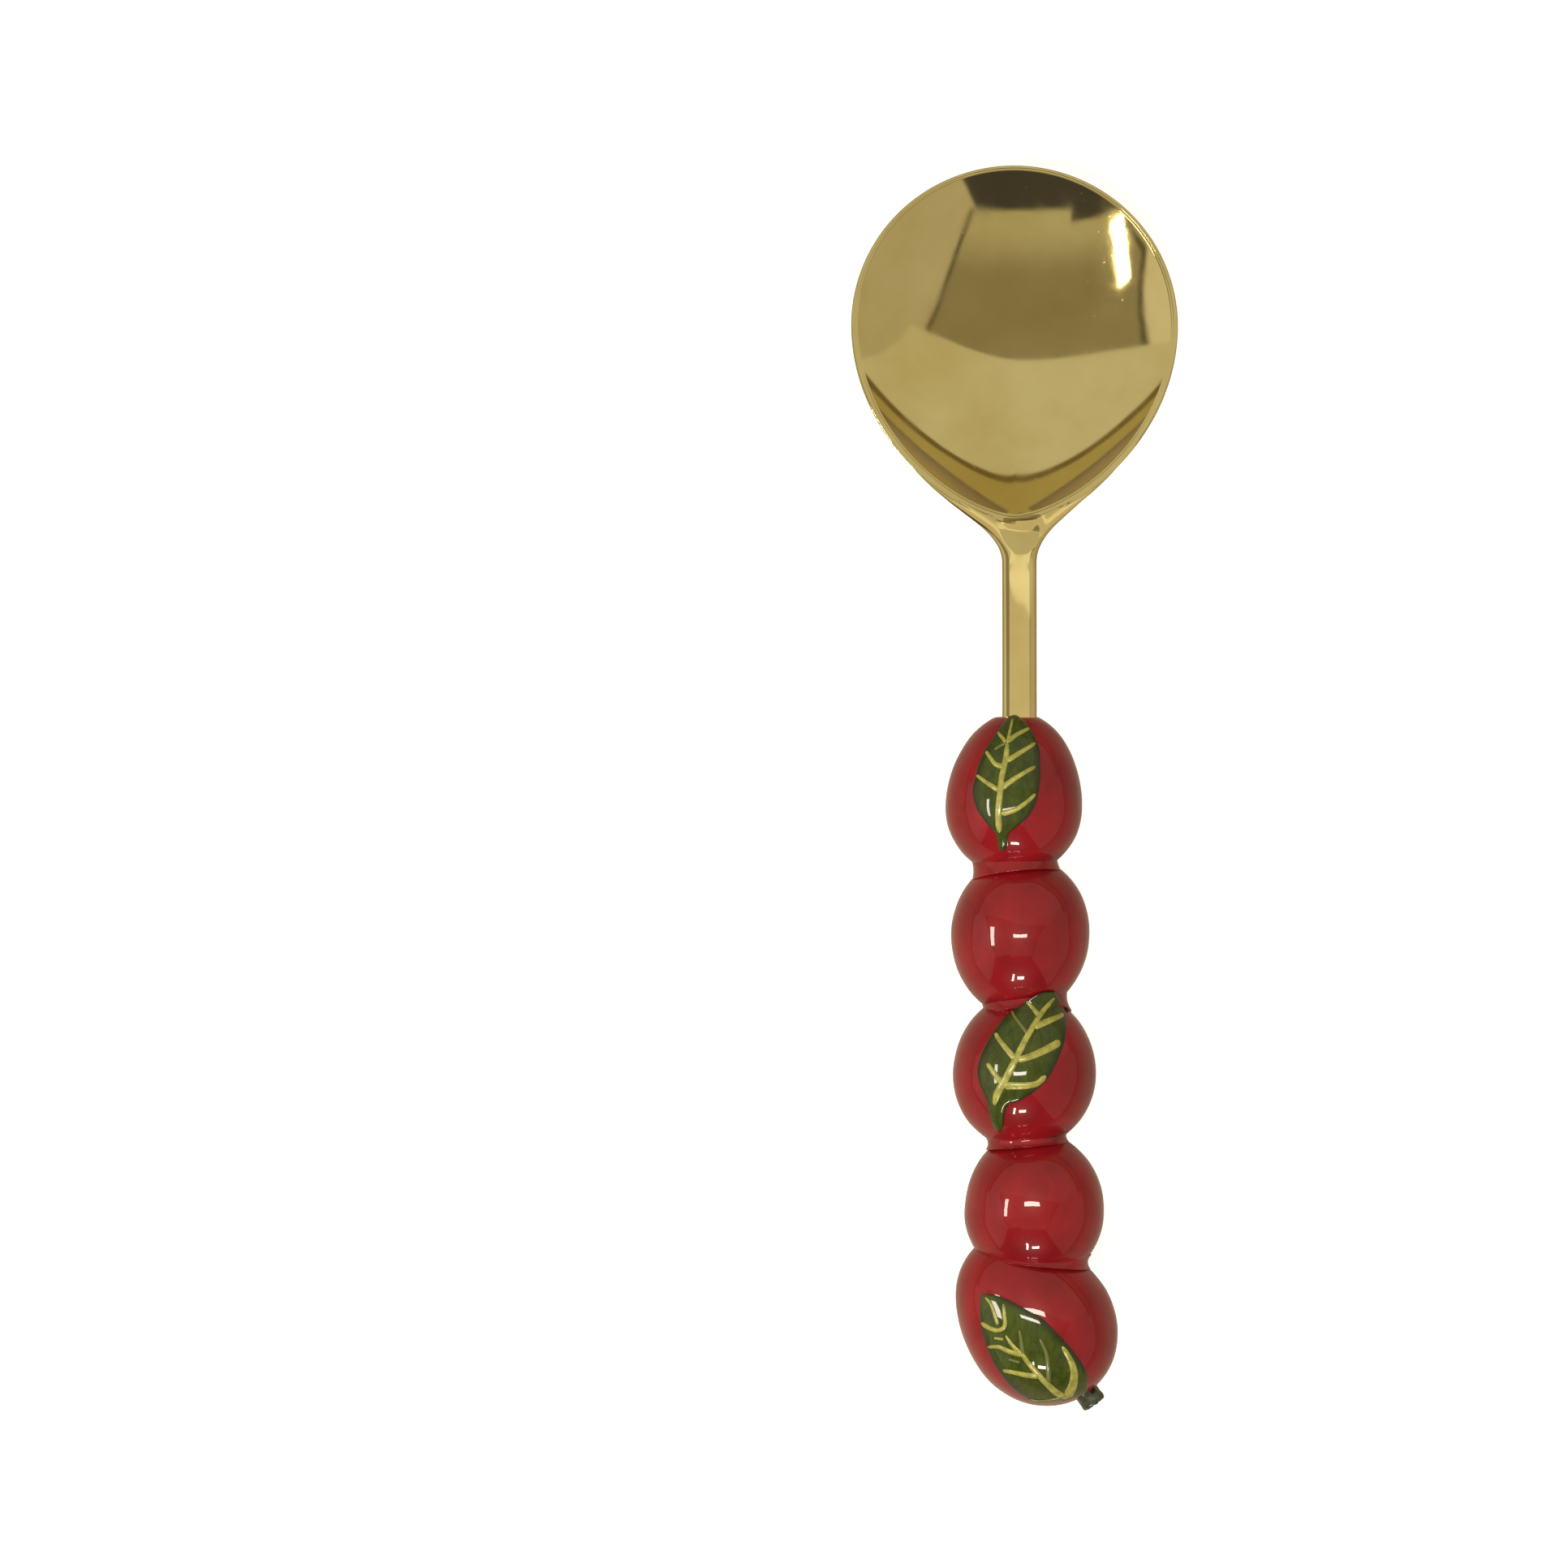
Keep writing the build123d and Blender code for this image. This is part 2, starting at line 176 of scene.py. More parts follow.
def bowl_point(travel, angle):
    """A point of the bowl's skin. travel runs from 0 at the centre of the cavity, over the rim
    at about the middle, to 1 at the centre of the foot."""
    inner_end, outer_start = 0.56, 0.64
    depth = bowl_height - floor_thickness
    rim = rim_width * (1 + rim_at_tip - (1 - rim_at_tip) * sin(angle)) / 2
    if travel < inner_end:
        share = travel / inner_end
        x, y = bowl_outline(angle, bowl_half_width - rim, bowl_tip - rim, bowl_heel - rim, share)
        z = floor_thickness + depth * share**bowl_roundness
    elif travel > outer_start:
        share = (1 - travel) / (1 - outer_start)
        x, y = bowl_outline(angle, bowl_half_width, bowl_tip, bowl_heel, share)
        z = outside_height(share)
    else:
        share = 1.0
        land = (travel - inner_end) / (outer_start - inner_end)
        inset = rim * (1 - land)
        x, y = bowl_outline(angle, bowl_half_width - inset, bowl_tip - inset, bowl_heel - inset, share)
        edge = abs(2 * land - 1)
        at_stem = land > 0.5 and sin(angle) < -heel_arc
        z = bowl_height - (0.0 if at_stem else rim_rounding * edge**5)
    z += plating_proud * (1 - abs(2 * travel - 1))
    z -= y * tan(level_pitch(share))
    if share > dip_from_share and travel < outer_start:
        z -= heel_dip(x, y)
    return Vector((x, y, z))


shell = bmesh.new()
bmesh.ops.create_uvsphere(shell, u_segments=224, v_segments=150, radius=1)
for v in shell.verts:
    v.co = bowl_point(acos(clamp(v.co.z, -1.0, 1.0)) / pi, atan2(v.co.y, v.co.x))

# Bright brass plating, buffed with rouge. It gives a warm straw-gold mirror, with cloudy
# handling marks, faint waves from the buffing wheel and a few dull pits.
plating, tree, shader = new_material("polished_brass_plating", "#c9ab5e")
place = node(tree, "ShaderNodeTexCoord")
clouds = node(
    tree,
    "ShaderNodeTexNoise",
    {"Scale": 1 / (22 * mm), "Detail": 4, "Roughness": 0.55},
    {"Vector": place.outputs["Object"]},
)
tint = node(tree, "ShaderNodeValToRGB", links={"Fac": clouds.outputs["Fac"]})
for stop, at, tone in zip(tint.color_ramp.elements, (0.3, 0.75), ("#c3ae70", "#d4c48c")):
    stop.position, stop.color = at, linear(tone)
smears = node(
    tree,
    "ShaderNodeTexNoise",
    {"Scale": 1 / (9 * mm), "Detail": 6, "Roughness": 0.65, "Distortion": 0.6},
    {"Vector": place.outputs["Object"]},
)
dullness = node(
    tree,
    "ShaderNodeMapRange",
    {"From Min": 0.35, "From Max": 0.75, "To Min": 0.045, "To Max": 0.11},
    {"Value": smears.outputs["Fac"]},
)
pits = node(
    tree,
    "ShaderNodeTexNoise",
    {"Scale": 1 / (0.8 * mm), "Detail": 2, "Roughness": 0.5},
    {"Vector": place.outputs["Object"]},
)
pitted = node(
    tree,
    "ShaderNodeMapRange",
    {"From Min": 0.7, "From Max": 0.78, "To Min": 0.0, "To Max": 0.3},
    {"Value": pits.outputs["Fac"]},
)
worn = node(tree, "ShaderNodeMath", operation="MAXIMUM")
tree.links.new(dullness.outputs["Result"], worn.inputs[0])
tree.links.new(pitted.outputs["Result"], worn.inputs[1])
buffing = node(
    tree,
    "ShaderNodeTexNoise",
    {"Scale": 1 / (14 * mm), "Detail": 2, "Roughness": 0.5},
    {"Vector": place.outputs["Object"]},
)
waves = node(
    tree,
    "ShaderNodeBump",
    {"Strength": 0.25, "Distance": 0.12 * mm},
    {"Height": buffing.outputs["Fac"]},
)
shader.inputs["Metallic"].default_value = 1.0
tree.links.new(tint.outputs["Color"], shader.inputs["Base Color"])
tree.links.new(worn.outputs["Value"], shader.inputs["Roughness"])
tree.links.new(waves.outputs["Normal"], shader.inputs["Normal"])

new_piece("bowl", shell, plating)

# ------------------------------------------------------------------------------ stem
# The stem is forged: a root that spreads like a fishtail under the bowl's heel, then an oval
# bar that arches into the handle. It is plated with the bowl, and its tang is hidden.

stem_x = 0.9 * mm
bar_half_width, bar_crown, bar_belly = 3.6 * mm, 2.2 * mm, 2.8 * mm
bar_start, junction_distance = 51.07 * mm, 81.8 * mm
wing_half_width, wing_from, wing_taper = 23.7 * mm, 26.5 * mm, 0.644  # taper: loss per length
flare_half_width, flare_from, flare_taper = 20.9 * mm, 31.0 * mm, 1.2
wing_easing, flare_easing = 2.5 * mm, 5.0 * mm
root_gain = 10.0 * mm  # the section is all root once it is this much wider than the bar
root_crown_loss, root_belly_gain = 1.3 * mm, 3.7 * mm
oval, flat_top, full_belly = 3.0, 12.0, 2.3  # how square the section is: 2 is an ellipse
handle_pitch = radians(2.0)
arch_radius = (junction_distance - bar_start) / (sin(bowl_pitch) + sin(handle_pitch))


def bar_height(distance):
    """Height of the bar's widest line: along the rim's plane, then over one arc."""
    if distance <= bar_start:
        return rim_height(distance) - bar_crown
    travelled = min(distance, junction_distance) - bar_start
    slope = asin(sin(bowl_pitch) - travelled / arch_radius)
    height = rim_height(bar_start) - bar_crown
    height += arch_radius * (cos(slope) - cos(bowl_pitch))
    return height - max(0.0, distance - junction_distance) * tan(handle_pitch)


def eased(gap, reach):
    """gap where it is above nothing and 0 below, with the corner eased over this reach."""
    if abs(gap) >= reach:
        return max(gap, 0.0)
    return (gap + reach) ** 2 / (4 * reach)


def root_half_width(distance):
    """Half the stem's width: two wings along the bowl, then a flare eased into the bar."""
    wing = wing_half_width - (distance - wing_from) * wing_taper
    flare = flare_half_width - (distance - flare_from) * flare_taper
    edge = wing - eased(wing - flare, wing_easing)
    return bar_half_width + eased(edge - bar_half_width, flare_easing)


def bar_point(distance, angle):
    """A point of the bar's skin: an oval section that turns flat on top towards the bowl."""
    half_width = root_half_width(distance)
    root = clamp((half_width - bar_half_width) / root_gain, 0.0, 1.0)
    crown = bar_crown - root_crown_loss * root
    belly = bar_belly + root_belly_gain * root
    top = bar_height(distance) + bar_crown
    squareness = oval + ((flat_top if sin(angle) > 0 else full_belly) - oval) * root
    across = copysign(abs(cos(angle)) ** (2 / squareness), cos(angle))
    up = copysign(abs(sin(angle)) ** (2 / squareness), sin(angle))
    x = stem_x * (1 - root) + half_width * across
    z = top - crown + up * (crown if up > 0 else belly)
    if up > 0.9:  # its upper face
        z += plating_proud - heel_dip(x, -distance)
    return Vector((x, -distance, z))


bar = bmesh.new()
bar_socket = 3.0 * mm  # how far the bar reaches into the first fruit
bar_end = junction_distance + bar_socket
bmesh.ops.create_grid(bar, x_segments=120, y_segments=84, size=1)
for v in bar.verts:
    v.co = bar_point(wing_from + (bar_end - wing_from) * (1 - v.co.y) / 2, (v.co.x + 1) * pi)
bmesh.ops.remove_doubles(bar, verts=bar.verts, dist=0.001 * mm)
bmesh.ops.holes_fill(bar, edges=[e for e in bar.edges if e.is_boundary], sides=0)

junction_height = bar_height(junction_distance)
handle = Matrix(
    (
        (1, 0, 0, stem_x),
        (0, -sin(handle_pitch), -cos(handle_pitch), -junction_distance),
        (0, cos(handle_pitch), -sin(handle_pitch), junction_height),
        (0, 0, 0, 1),
    )
)  # x runs across the handle, y is up and z runs along it, away from the bowl

# The tang carries on from the bar's end, out of sight in the fruits, with its tip chamfered.
tang_radius, tang_length, tang_chamfer = 2.4 * mm, 122.0 * mm, 0.6 * mm
tang_from = bar_socket + 0.1 * mm
tang = bmesh.ops.create_cone(
    bar,
    cap_ends=True,
    segments=48,
    radius1=tang_radius,
    radius2=tang_radius,
    depth=tang_length - tang_from,
    matrix=handle @ Matrix.Translation((0, 0, (tang_length + tang_from) / 2)),
)["verts"]
tang_middle = -junction_distance - tang_length / 2
tang_edges = {e for v in tang for e in v.link_edges}
tip = [e for e in tang_edges if all(v.co.y < tang_middle for v in e.verts)]
bmesh.ops.bevel(
    bar, geom=tip, offset=tang_chamfer, segments=1, profile=0.5, affect="EDGES", material=-1
)

# The root is dressed to the bowl's outside, so the bowl's form is cut out of it.
form_rise = 4 * mm  # the form is domed this far above the rim, so that the cut is clean
form = bmesh.new()
bmesh.ops.create_uvsphere(form, u_segments=160, v_segments=60, radius=1)
for v in form.verts:
    angle, height = atan2(v.co.y, v.co.x), v.co.z
    share = 2 / pi * asin(min(1.0, hypot(v.co.x, v.co.y)))
    x, y = bowl_outline(angle, bowl_half_width, bowl_tip, bowl_heel, share)
    z = bowl_height + form_rise * (1 - share) if height > 0 else outside_height(share)
    pitch = bowl_pitch if height > 0 else level_pitch(share)
    v.co = (x, y, z - y * tan(pitch))
face_outwards(form)
stem = new_piece("stem", bar, plating)
cutter = new_object("bowl_form", form)
cut = stem.modifiers.new("seat", "BOOLEAN")
cut.operation, cut.solver, cut.object = "DIFFERENCE", "EXACT", cutter
graph = bpy.context.evaluated_depsgraph_get()
seated = bpy.data.meshes.new_from_object(stem.evaluated_get(graph), depsgraph=graph)
stem.modifiers.clear()
stem.data = seated
bpy.data.objects.remove(cutter)
bpy.context.view_layer.update()

# The filler metal of the joint is a dull yellow braze, left as it flowed under the heel.
braze, tree, shader = new_material("flowed_braze", "#a9874a")
place = node(tree, "ShaderNodeTexCoord")
flow = node(
    tree,
    "ShaderNodeTexNoise",
    {"Scale": 1 / (2.5 * mm), "Detail": 3, "Roughness": 0.6},
    {"Vector": place.outputs["Object"]},
)
tint = node(tree, "ShaderNodeValToRGB", links={"Fac": flow.outputs["Fac"]})
for stop, at, tone in zip(tint.color_ramp.elements, (0.35, 0.7), ("#96743a", "#b8955a")):
    stop.position, stop.color = at, linear(tone)
shader.inputs["Metallic"].default_value = 1.0
shader.inputs["Roughness"].default_value = 0.35
tree.links.new(tint.outputs["Color"], shader.inputs["Base Color"])
frame["nodes"]["brazing"].material_slots[0].material = braze

# The adhesive round the tang is a filled epoxy, cast in place: cloudy, cream and dull.
glue, tree, shader = new_material("filled_epoxy", "#b8b08e")
place = node(tree, "ShaderNodeTexCoord")
filler = node(
    tree,
    "ShaderNodeTexNoise",
    {"Scale": 1 / (1.8 * mm), "Detail": 4, "Roughness": 0.6},
    {"Vector": place.outputs["Object"]},
)
cream = node(tree, "ShaderNodeValToRGB", links={"Fac": filler.outputs["Fac"]})
for stop, at, tone in zip(cream.color_ramp.elements, (0.3, 0.75), ("#a79f7c", "#c8c09f")):
    stop.position, stop.color = at, linear(tone)
shader.inputs["Roughness"].default_value = 0.7
tree.links.new(cream.outputs["Color"], shader.inputs["Base Color"])
frame["nodes"]["adhesive_sleeve"].material_slots[0].material = glue

# ------------------------------------------------------------------------------ fruits
# Five fruits are cast in resin, threaded on the tang and finished in deep red lacquer. Each is
# half an ellipsoid towards the bowl and a blunter half below, a little uneven from the hand.

# The last fruit is lifted so that it rests on the table.
end_radius, end_s = 15.6, 127.4
end_axis_height = junction_height / mm - end_s * sin(handle_pitch)
end_lift = (end_radius - end_axis_height) / cos(handle_pitch)

# Where the centre is, across the handle, above its axis and along it, then the radius and the
# lengths towards the bowl and away from it (mm), and the lean of the fruit's axis (degrees).
fruit_sizes = [
    (-1.2, 0.0, 18.6, 14.2, 19.6, 14.5, -3.4),
    (0.2, 0.6, 45.0, 14.3, 16.4, 17.2, -3.9),
    (1.0, 1.2, 74.0, 14.9, 16.6, 16.0, -4.6),
    (3.1, 0.8, 103.1, 14.6, 17.0, 14.6, 1.0),
    (4.7, end_lift, end_s, end_radius, 22.0, 16.5, 35.0),
]
dent_depth, dent_spread = 0.22 * mm, 1.3
fine_dents, fine_spread = 0.35, 2.3  # smaller dents, as a share of the large ones


def fruit_frame(number):
    """The fruit's own frame: its centre, with z along its axis away from the bowl."""
    x, lift, s, _, _, _, lean = fruit_sizes[number]
    turn = Matrix.Rotation(radians(lean), 4, "Y")
    return handle @ Matrix.Translation((x * mm, lift * mm, s * mm)) @ turn


def unevenness(number, direction):
    """How far the hand-finished skin stands off the true form in this direction."""
    spot = direction * dent_spread + Vector((7.0 * number, 1.7, 4.1))  # elsewhere for each fruit
    return dent_depth * (noise.noise(spot) + fine_dents * noise.noise(spot * fine_spread))


def skin_lift(number, x, s):
    """Height of a fruit's skin above the handle's axis plane, at a point seen from above."""
    cx, lift, cs, radius, crown, base, lean = fruit_sizes[number]
    dx, ds = x - cx * mm, s - cs * mm
    turn = radians(lean)
    across, along = dx * cos(turn) - ds * sin(turn), dx * sin(turn) + ds * cos(turn)
    half_length = (crown if along < 0 else base) * mm
    left = (radius * mm) ** 2 * (1 - (along / half_length) ** 2) - across**2
    up = sqrt(left) if left > 0 else -sqrt(-left)
    direction = Vector((across / radius, up / radius, along / half_length * mm)) / mm
    return lift * mm + up + unevenness(number, direction)


# Red lacquer over a tinted undercoat: deep, slightly mottled red under a thick clear gloss
# that gives small sharp highlights, with a soft orange peel and a few darker specks.
lacquer, tree, shader = new_material("red_lacquer", "#8c1f26")
place = node(tree, "ShaderNodeTexCoord")
mottle = node(
    tree,
    "ShaderNodeTexNoise",
    {"Scale": 1 / (9 * mm), "Detail": 5, "Roughness": 0.6, "Distortion": 0.4},
    {"Vector": place.outputs["Object"]},
)
red = node(tree, "ShaderNodeValToRGB", links={"Fac": mottle.outputs["Fac"]})
for stop, at, tone in zip(red.color_ramp.elements, (0.25, 0.8), ("#6a0810", "#8a1019")):
    stop.position, stop.color = at, linear(tone)
specks = node(
    tree,
    "ShaderNodeTexNoise",
    {"Scale": 1 / (1.6 * mm), "Detail": 3, "Roughness": 0.7},
    {"Vector": place.outputs["Object"]},
)
speck_mask = node(
    tree,
    "ShaderNodeMapRange",
    {"From Min": 0.68, "From Max": 0.76, "To Min": 0.0, "To Max": 0.35},
    {"Value": specks.outputs["Fac"]},
)
speckled = node(
    tree,
    "ShaderNodeMix",
    {"B": linear("#5d0c10")},
    {"Factor": speck_mask.outputs["Result"], "A": red.outputs["Color"]},
    data_type="RGBA",
)
peel = node(
    tree,
    "ShaderNodeTexNoise",
    {"Scale": 1 / (3.2 * mm), "Detail": 2, "Roughness": 0.45},
    {"Vector": place.outputs["Object"]},
)
peel_bump = node(
    tree,
    "ShaderNodeBump",
    {"Strength": 0.12, "Distance": 0.06 * mm},
    {"Height": peel.outputs["Fac"]},
)
shader.inputs["Roughness"].default_value = 0.4
shader.inputs["IOR"].default_value = 1.5
shader.inputs["Specular IOR Level"].default_value = 0.1
shader.inputs["Coat Weight"].default_value = 1.0
shader.inputs["Coat Roughness"].default_value = 0.03
shader.inputs["Coat IOR"].default_value = 1.34
tree.links.new(speckled.outputs["Result"], shader.inputs["Base Color"])
tree.links.new(peel_bump.outputs["Normal"], shader.inputs["Normal"])
tree.links.new(peel_bump.outputs["Normal"], shader.inputs["Coat Normal"])

for number, (x, lift, s, radius, crown, base, lean) in enumerate(fruit_sizes):
    ball = bmesh.new()
    bmesh.ops.create_uvsphere(ball, u_segments=144, v_segments=96, radius=1)
    for v in ball.verts:
        stand = 1 + unevenness(number, v.co) / (radius * mm)
        half_length = crown if v.co.z < 0 else base
        v.co = Vector((v.co.x * radius, v.co.y * radius, v.co.z * half_length)) * mm * stand
    ball.transform(fruit_frame(number))
    if number == 0:
        bmesh.ops.bisect_plane(
            ball,
            geom=ball.verts[:] + ball.edges[:] + ball.faces[:],
            plane_co=handle.translation,
            plane_no=-handle.col[2].to_3d(),
            clear_outer=True,
        )
        bmesh.ops.holes_fill(ball, edges=[e for e in ball.edges if e.is_boundary], sides=0)
    new_piece(f"fruit_{number + 1}", ball, lacquer)

# ------------------------------------------------------------------------------ seam fillers
# Where two fruits meet, the crease is filled with a short waisted collar of the same resin and
# lacquered over. Paint gathers there and dries a touch warmer.

# Where its middle is, across the handle and along it (mm), its slope seen from above and its
# lean (degrees), then the waist's radius and half the collar's height (mm).
seam_sizes = [
    (-0.9, 30.4, 6.0, 10.0, 8.8, 2.8),
    (1.2, 59.7, 7.0, 16.0, 8.8, 2.6),
    (1.6, 87.9, 5.0, 2.0, 8.2, 1.4),
    (3.2, 112.2, -6.0, 0.0, 11.2, 1.5),
]
collar_hollow = 0.6  # how much wider the collar's ends are than its waist
shoulder = 0.8  # the share of half the height where the ends start to round over
seam_paint = lacquer.copy()
seam_paint.name = "red_lacquer_pooled"
pooled = seam_paint.node_tree
for ramp in [n for n in pooled.nodes if n.type == "VALTORGB"]:
    ramp.color_ramp.elements[0].color = linear("#6b0b11")
    ramp.color_ramp.elements[1].color = linear("#8d151d")

for number, (x, s, slope, lean, waist, half_height) in enumerate(seam_sizes):
    lift = (fruit_sizes[number][1] + fruit_sizes[number + 1][1]) / 2
    collar = bmesh.new()
    bmesh.ops.create_uvsphere(collar, u_segments=128, v_segments=48, radius=1)
    for v in collar.verts:
        around, height = atan2(v.co.y, v.co.x), v.co.z
        reach = waist + collar_hollow * (height / shoulder) ** 2
        if abs(height) > shoulder:
            reach *= sqrt(max(0.0, (1 - abs(height)) / (1 - shoulder)))
        tall = half_height * clamp(height / shoulder, -1.0, 1.0)
        v.co = Vector((reach * cos(around), reach * sin(around), tall)) * mm
    turn = Matrix.Rotation(radians(slope), 4, "Y") @ Matrix.Rotation(radians(-lean), 4, "X")
    collar.transform(handle @ Matrix.Translation((x * mm, lift * mm, s * mm)) @ turn)
    new_piece(f"seam_filler_{number + 1}", collar, seam_paint)

# ------------------------------------------------------------------------------ leaves
# Three leaves are laid in low relief over the lacquer and brushed dark green. Their midribs
# and side veins are trailed on in thick olive paint.

# Which fruit the leaf lies on, where its base is across and along the handle (mm) and its turn
# (degrees), then its left and its right edge from its own stalk to its tip, in mm across and
# along the leaf.
leaves = [
    {
        "fruit": 0, "x": -3.8, "s": 23.8, "turn": 6.5,
        "left": [
            (0.3, -3.5), (-0.4, -2.7), (-1.2, -0.3), (-2.2, 0.7), (-3.8, 2.3), (-5.5, 4.2),
            (-6.6, 6.5), (-7.0, 8.6), (-6.8, 10.7), (-6.4, 13.4), (-5.4, 16.7), (-4.3, 18.9),
            (-3.1, 21.1), (-1.6, 23.5), (-0.2, 24.2),
        ],
        "right": [
            (0.9, -3.5), (1.3, -1.9), (1.4, 0.4), (3.6, 2.7), (5.1, 4.6), (6.1, 7.2), (6.5, 11.4),
            (6.2, 14.4), (5.8, 17.6), (4.8, 20.0), (3.7, 21.7), (2.4, 23.1), (0.4, 24.2),
        ],
    },
    {
        "fruit": 2, "x": -3.2, "s": 80.6, "turn": 27.0,
        "left": [
            (1.4, -5.1), (0.3, -4.8), (-1.2, -3.7), (-2.6, -2.1), (-3.7, -0.6), (-5.0, 0.5),
            (-6.9, 2.1), (-8.4, 4.1), (-9.0, 6.1), (-9.4, 9.1), (-9.2, 12.4), (-8.7, 15.4),
            (-8.0, 17.7), (-6.7, 20.1), (-5.6, 22.5), (-4.0, 24.7), (-2.0, 25.9),
        ],
        "right": [
            (1.6, -5.0), (1.4, -3.3), (0.7, -1.6), (0.3, -0.2), (0.4, 1.2), (1.9, 2.8), (3.3, 5.0),
            (4.4, 7.4), (5.0, 9.8), (5.2, 12.2), (5.1, 14.6), (4.8, 17.5), (4.1, 19.9), (3.0, 22.1),
            (1.6, 23.7), (0.0, 24.9), (-1.6, 26.0),
        ],
    },
    {
        "fruit": 4, "x": 9.2, "s": 140.6, "turn": -43.5,
        "left": [
            (3.7, -2.7), (1.7, -2.5), (-0.5, -1.5), (-2.8, 0.1), (-5.2, 2.8), (-6.1, 4.5), (-6.6, 6.6),
            (-6.8, 9.3), (-6.4, 12.7), (-5.7, 15.8), (-4.3, 19.2), (-2.7, 22.0), (-1.1, 24.2),
            (0.7, 25.9), (1.9, 27.0),
        ],
        "right": [
            (4.1, -2.7), (5.4, -1.3), (6.5, 0.1), (7.3, 2.5), (7.7, 5.2), (8.0, 8.8), (8.0, 12.1),
            (7.8, 15.2), (6.9, 18.2), (5.9, 21.0), (4.8, 23.8), (3.5, 25.8), (2.3, 27.0),
        ],
    },
]
leaf_relief, leaf_depth = 0.65, 1.1  # how proud of the fruit, and how deep its key goes in
edge_relief, vein_bed = 0.25, 0.35  # shares of the relief: at the edge, and under an edge vein
crease_blend, crease_sink = 1.6, 0.2  # mm, where a leaf bridges the crease between two fruits
collar_steepness, steepest = 0.8, 1.6
end_fade, end_relief, end_swell = 6, 0.3, 14  # how soon the ends thin, and how they rise from them

# Each vein: its points across and along the leaf, its widest width, how far it thins towards
# its end (1 keeps its width), and whether it is laid in the duller paint.
leaf_veins = [
    [
        ([(-0.5, 0.3), (-1.2, 4.5), (-1.3, 9.2), (-1.3, 11.5), (-0.9, 15.3), (-0.9, 18.6)], 1.0, 0.8, 0),
        ([(-0.8, 18.4), (-0.7, 20.1), (-0.3, 23.2)], 0.6, 0.5, 0),
        ([(-0.6, 4.2), (2.1, 5.4), (4.4, 7.4), (5.8, 9.1)], 0.9, 0.6, 0),
        ([(-1.2, 9.2), (0.7, 11.1), (3.2, 13.1), (5.2, 14.5)], 0.9, 0.6, 0),
        ([(-0.7, 14.9), (1.6, 16.7), (4.7, 19.2)], 0.85, 0.6, 0),
        ([(-0.8, 18.8), (0.8, 20.3), (3.2, 21.9)], 0.75, 0.6, 0),
        ([(-1.5, 8.8), (-4.5, 10.3), (-6.4, 11.4)], 0.85, 0.6, 0),
        ([(-1.2, 13.7), (-2.9, 14.1), (-5.0, 16.4)], 0.85, 0.6, 0),
        ([(-1.0, 18.4), (-2.0, 17.9), (-3.3, 16.8)], 0.45, 0.7, 1),
        ([(-1.1, 18.4), (-3.0, 20.4)], 0.7, 0.6, 0),
    ],
    [
        ([(-2.1, -0.3), (-2.7, 2.4), (-2.6, 5.2), (-2.6, 9.8), (-2.6, 14.9), (-2.2, 19.4),
          (-1.5, 24.9)], 1.2, 0.6, 0),
        ([(-2.4, 4.2), (0.6, 5.7), (2.4, 6.8), (3.6, 7.9), (4.3, 9.9)], 1.2, 0.7, 0),
        ([(-2.4, 9.9), (-0.3, 11.8), (1.8, 14.3), (3.9, 17.2)], 0.95, 1.3, 0),
        ([(-2.2, 17.4), (0.8, 20.7), (2.2, 22.3)], 1.1, 0.6, 0),
        ([(-2.8, 4.6), (-5.0, 5.5), (-7.3, 6.7)], 1.0, 0.6, 0),
        ([(-2.7, 10.0), (-7.1, 11.9), (-8.6, 12.9)], 1.0, 0.6, 0),
        ([(-2.7, 15.6), (-6.5, 17.5), (-7.6, 18.4)], 0.6, 0.7, 1),
        ([(-2.4, 19.8), (-6.0, 21.7)], 0.8, 0.6, 0),
    ],
    [
        ([(0.2, -0.7), (-0.5, 1.8), (-0.6, 5.0), (-0.5, 7.7), (-0.3, 10.6), (-0.1, 12.4),
          (-0.2, 15.3), (0.2, 17.7)], 1.1, 0.45, 0),
        ([(0.2, -0.4), (2.9, 0.8), (4.9, 2.6), (6.1, 4.9), (6.9, 8.2)], 1.6, 0.4, 0),
        ([(-0.4, 4.5), (1.6, 6.7), (3.6, 9.4), (4.7, 12.5)], 0.8, 0.6, 1),
        ([(0.0, 12.4), (1.6, 14.5), (3.0, 16.6)], 0.7, 0.6, 1),
        ([(-0.6, 6.9), (-2.5, 9.0), (-3.8, 10.8), (-5.3, 12.7)], 0.9, 0.6, 0),
        ([(-0.1, 12.4), (-1.5, 14.6), (-2.5, 16.8), (-4.3, 18.2)], 0.85, 0.6, 0),
        ([(-1.5, 11.6), (-2.7, 13.6)], 0.5, 0.7, 1),
        ([(-0.7, 17.3), (-1.9, 18.7)], 0.5, 0.7, 0),
        ([(-1.8, 22.8), (-1.3, 21.0), (-0.3, 19.4), (1.3, 19.1), (3.0, 21.0), (4.2, 22.6)], 0.75, 0.7, 0),
        ([(0.5, 20.2), (1.2, 21.7), (2.3, 24.1), (2.4, 26.0)], 0.6, 0.6, 0),
        ([(-0.5, -0.1), (-2.4, 1.1), (-4.7, 2.7), (-6.0, 4.4)], 0.8, 0.6, 1),
    ],
]


def along(points, share):
    """A point this share of the way along a smooth line through these points."""
    lengths = [hypot(b[0] - a[0], b[1] - a[1]) for a, b in zip(points, points[1:])]
    left = share * sum(lengths)
    step = 0
    while step < len(lengths) - 1 and left > lengths[step]:
        left -= lengths[step]
        step += 1
    t = left / lengths[step]
    last = len(points) - 1
    a, b, c, d = (Vector(points[clamp(step + n, 0, last)]) for n in (-1, 0, 1, 2))
    bend, twist = 2 * a - 5 * b + 4 * c - d, 3 * b - a - 3 * c + d
    return 0.5 * (2 * b + (c - a) * t + bend * t**2 + twist * t**3)


